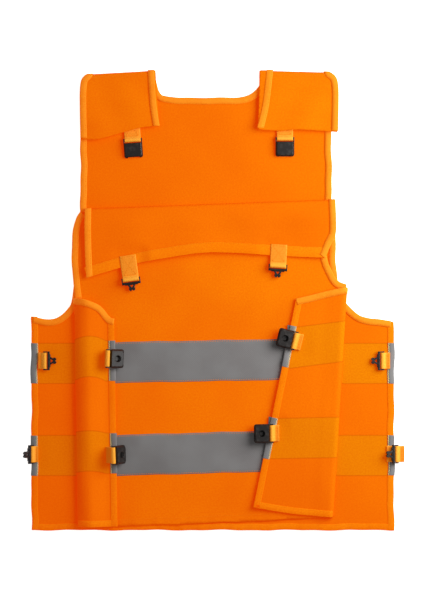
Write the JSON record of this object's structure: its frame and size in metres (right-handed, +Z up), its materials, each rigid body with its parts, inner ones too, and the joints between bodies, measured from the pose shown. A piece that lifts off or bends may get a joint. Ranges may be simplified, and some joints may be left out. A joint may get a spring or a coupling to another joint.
{
  "type": "high-visibility vest",
  "caption": "Two-piece pull-apart high-visibility vest, unbuckled and laid flat, with reflective bands and snap buckles on webbing tabs at shoulders and sides.",
  "frame": {"origin": "middle of the laid-out footprint, on the surface it lies on", "axes": "+Z up from the surface, +Y towards the shoulders, +X to the right seen from above"},
  "size_m": [0.5703, 0.688, 0.0342],
  "materials": {
    "fabric": "knitted fluorescent orange polyester, matt",
    "binding": "folded polyester binding tape, fine rib, stitched",
    "reflective_tape": "retro-reflective glass-bead tape, dull silver grey",
    "webbing": "woven polyester webbing",
    "buckle_plastic": "moulded black plastic, satin"
  },
  "bodies": {
    "back_panel": {"back_panel": "fabric", "back_neck_binding": "binding", "back_armhole_binding_left": "binding", "back_armhole_binding_right": "binding", "back_tape_upper": "reflective_tape", "back_tape_lower": "reflective_tape", "side_upper_left_tab": "webbing", "side_lower_left_tab": "webbing", "side_upper_right_tab": "webbing", "side_lower_right_tab": "webbing"},
    "left_shoulder_flap": {"left_shoulder_flap": "fabric", "left_shoulder_outer_binding": "binding", "left_shoulder_inner_binding": "binding", "left_shoulder_tab": "webbing"},
    "right_shoulder_flap": {"right_shoulder_flap": "fabric", "right_shoulder_outer_binding": "binding", "right_shoulder_inner_binding": "binding", "right_shoulder_tab": "webbing"},
    "front_panel": {"front_panel": "fabric", "front_armhole_binding_left": "binding", "front_armhole_binding_right": "binding", "front_tape_upper": "reflective_tape", "front_tape_lower": "reflective_tape"},
    "top_flap": {"top_flap": "fabric", "top_flap_neckline_hem": "binding", "top_flap_armhole_binding_left": "binding", "top_flap_armhole_binding_right": "binding", "top_flap_left_tab": "webbing", "top_flap_right_tab": "webbing"},
    "left_wing": {"left_wing": "fabric", "left_wing_armhole_binding": "binding", "left_wing_tape_upper": "reflective_tape", "left_wing_tape_lower": "reflective_tape", "left_wing_upper_tab": "webbing", "left_wing_lower_tab": "webbing"},
    "right_wing": {"right_wing": "fabric", "right_wing_armhole_binding": "binding", "right_wing_tape_upper": "reflective_tape", "right_wing_tape_lower": "reflective_tape", "right_wing_upper_tab": "webbing", "right_wing_lower_tab": "webbing"},
    "side_upper_left_buckle": {"side_upper_left_buckle": "buckle_plastic"},
    "side_lower_left_buckle": {"side_lower_left_buckle": "buckle_plastic"},
    "side_upper_right_buckle": {"side_upper_right_buckle": "buckle_plastic"},
    "side_lower_right_buckle": {"side_lower_right_buckle": "buckle_plastic"},
    "left_shoulder_buckle": {"left_shoulder_buckle": "buckle_plastic"},
    "right_shoulder_buckle": {"right_shoulder_buckle": "buckle_plastic"},
    "top_flap_left_buckle": {"top_flap_left_buckle": "buckle_plastic"},
    "top_flap_right_buckle": {"top_flap_right_buckle": "buckle_plastic"},
    "left_wing_upper_buckle": {"left_wing_upper_buckle": "buckle_plastic"},
    "left_wing_lower_buckle": {"left_wing_lower_buckle": "buckle_plastic"},
    "right_wing_upper_buckle": {"right_wing_upper_buckle": "buckle_plastic"},
    "right_wing_lower_buckle": {"right_wing_lower_buckle": "buckle_plastic"}
  },
  "joints": [
    {"name": "front_panel_lift", "type": "slide", "parent": "back_panel", "child": "front_panel", "axis": [0, 0, 1], "range_m": [0, 0.3]},
    {"name": "left_shoulder_fold", "type": "hinge", "parent": "back_panel", "child": "left_shoulder_flap", "pos_m": [-0.1465, 0.341, 0.00405], "axis": [-0.998, -0.0629, 0], "range_deg": [0, 170]},
    {"name": "right_shoulder_fold", "type": "hinge", "parent": "back_panel", "child": "right_shoulder_flap", "pos_m": [0.129, 0.343, 0.00405], "axis": [-0.9996, 0.0288, 0], "range_deg": [0, 170]},
    {"name": "top_flap_fold", "type": "hinge", "parent": "front_panel", "child": "top_flap", "pos_m": [-0.008, 0.1435, 0.0068], "axis": [-0.9993, -0.0372, 0], "range_deg": [0, 165]},
    {"name": "left_wing_fold", "type": "hinge", "parent": "front_panel", "child": "left_wing", "pos_m": [-0.209, -0.168, 0.0068], "axis": [0.0146, -0.9999, 0], "range_deg": [0, 140]},
    {"name": "right_wing_fold", "type": "hinge", "parent": "front_panel", "child": "right_wing", "pos_m": [0.188, -0.1515, 0.0068], "axis": [0.0604, 0.9982, 0], "range_deg": [0, 160]},
    {"name": "side_upper_left_buckle_pivot", "type": "hinge", "parent": "back_panel", "child": "side_upper_left_buckle", "pos_m": [-0.255, -0.091, 0.0063], "axis": [0, -1, 0], "range_deg": [0, 110]},
    {"name": "side_lower_left_buckle_pivot", "type": "hinge", "parent": "back_panel", "child": "side_lower_left_buckle", "pos_m": [-0.274, -0.231, 0.0063], "axis": [0, 1, 0], "range_deg": [0, 80]},
    {"name": "side_upper_right_buckle_pivot", "type": "hinge", "parent": "back_panel", "child": "side_upper_right_buckle", "pos_m": [0.251, -0.091, 0.0063], "axis": [0, 1, 0], "range_deg": [0, 110]},
    {"name": "side_lower_right_buckle_pivot", "type": "hinge", "parent": "back_panel", "child": "side_lower_right_buckle", "pos_m": [0.272, -0.2305, 0.0075], "axis": [0, 1, 0], "range_deg": [0, 90]},
    {"name": "left_shoulder_buckle_pivot", "type": "hinge", "parent": "left_shoulder_flap", "child": "left_shoulder_buckle", "pos_m": [-0.1235, 0.2395, 0.00645], "axis": [-0.9976, -0.0698, 0], "range_deg": [0, 100]},
    {"name": "right_shoulder_buckle_pivot", "type": "hinge", "parent": "right_shoulder_flap", "child": "right_shoulder_buckle", "pos_m": [0.1045, 0.2415, 0.00645], "axis": [-1, 0, 0], "range_deg": [0, 100]},
    {"name": "top_flap_left_buckle_pivot", "type": "hinge", "parent": "top_flap", "child": "top_flap_left_buckle", "pos_m": [-0.126, 0.031, 0.0121], "axis": [-0.9903, -0.1392, 0], "range_deg": [0, 110]},
    {"name": "top_flap_right_buckle_pivot", "type": "hinge", "parent": "top_flap", "child": "top_flap_right_buckle", "pos_m": [0.094, 0.051, 0.0121], "axis": [-0.9986, 0.0523, 0], "range_deg": [0, 110]},
    {"name": "left_wing_upper_buckle_pivot", "type": "hinge", "parent": "left_wing", "child": "left_wing_upper_buckle", "pos_m": [-0.1598, -0.087, 0.02518], "axis": [-0.0349, -0.9994, 0], "range_deg": [0, 100]},
    {"name": "left_wing_lower_buckle_pivot", "type": "hinge", "parent": "left_wing", "child": "left_wing_lower_buckle", "pos_m": [-0.151, -0.231, 0.03104], "axis": [0.0349, -0.9994, 0], "range_deg": [0, 110]},
    {"name": "right_wing_upper_buckle_pivot", "type": "hinge", "parent": "right_wing", "child": "right_wing_upper_buckle", "pos_m": [0.11908, -0.061, 0.01545], "axis": [0.2419, 0.9703, 0], "range_deg": [0, 100]},
    {"name": "right_wing_lower_buckle_pivot", "type": "hinge", "parent": "right_wing", "child": "right_wing_lower_buckle", "pos_m": [0.08477, -0.199, 0.01545], "axis": [-0.0175, 0.9998, 0], "range_deg": [0, 100]}
  ]
}
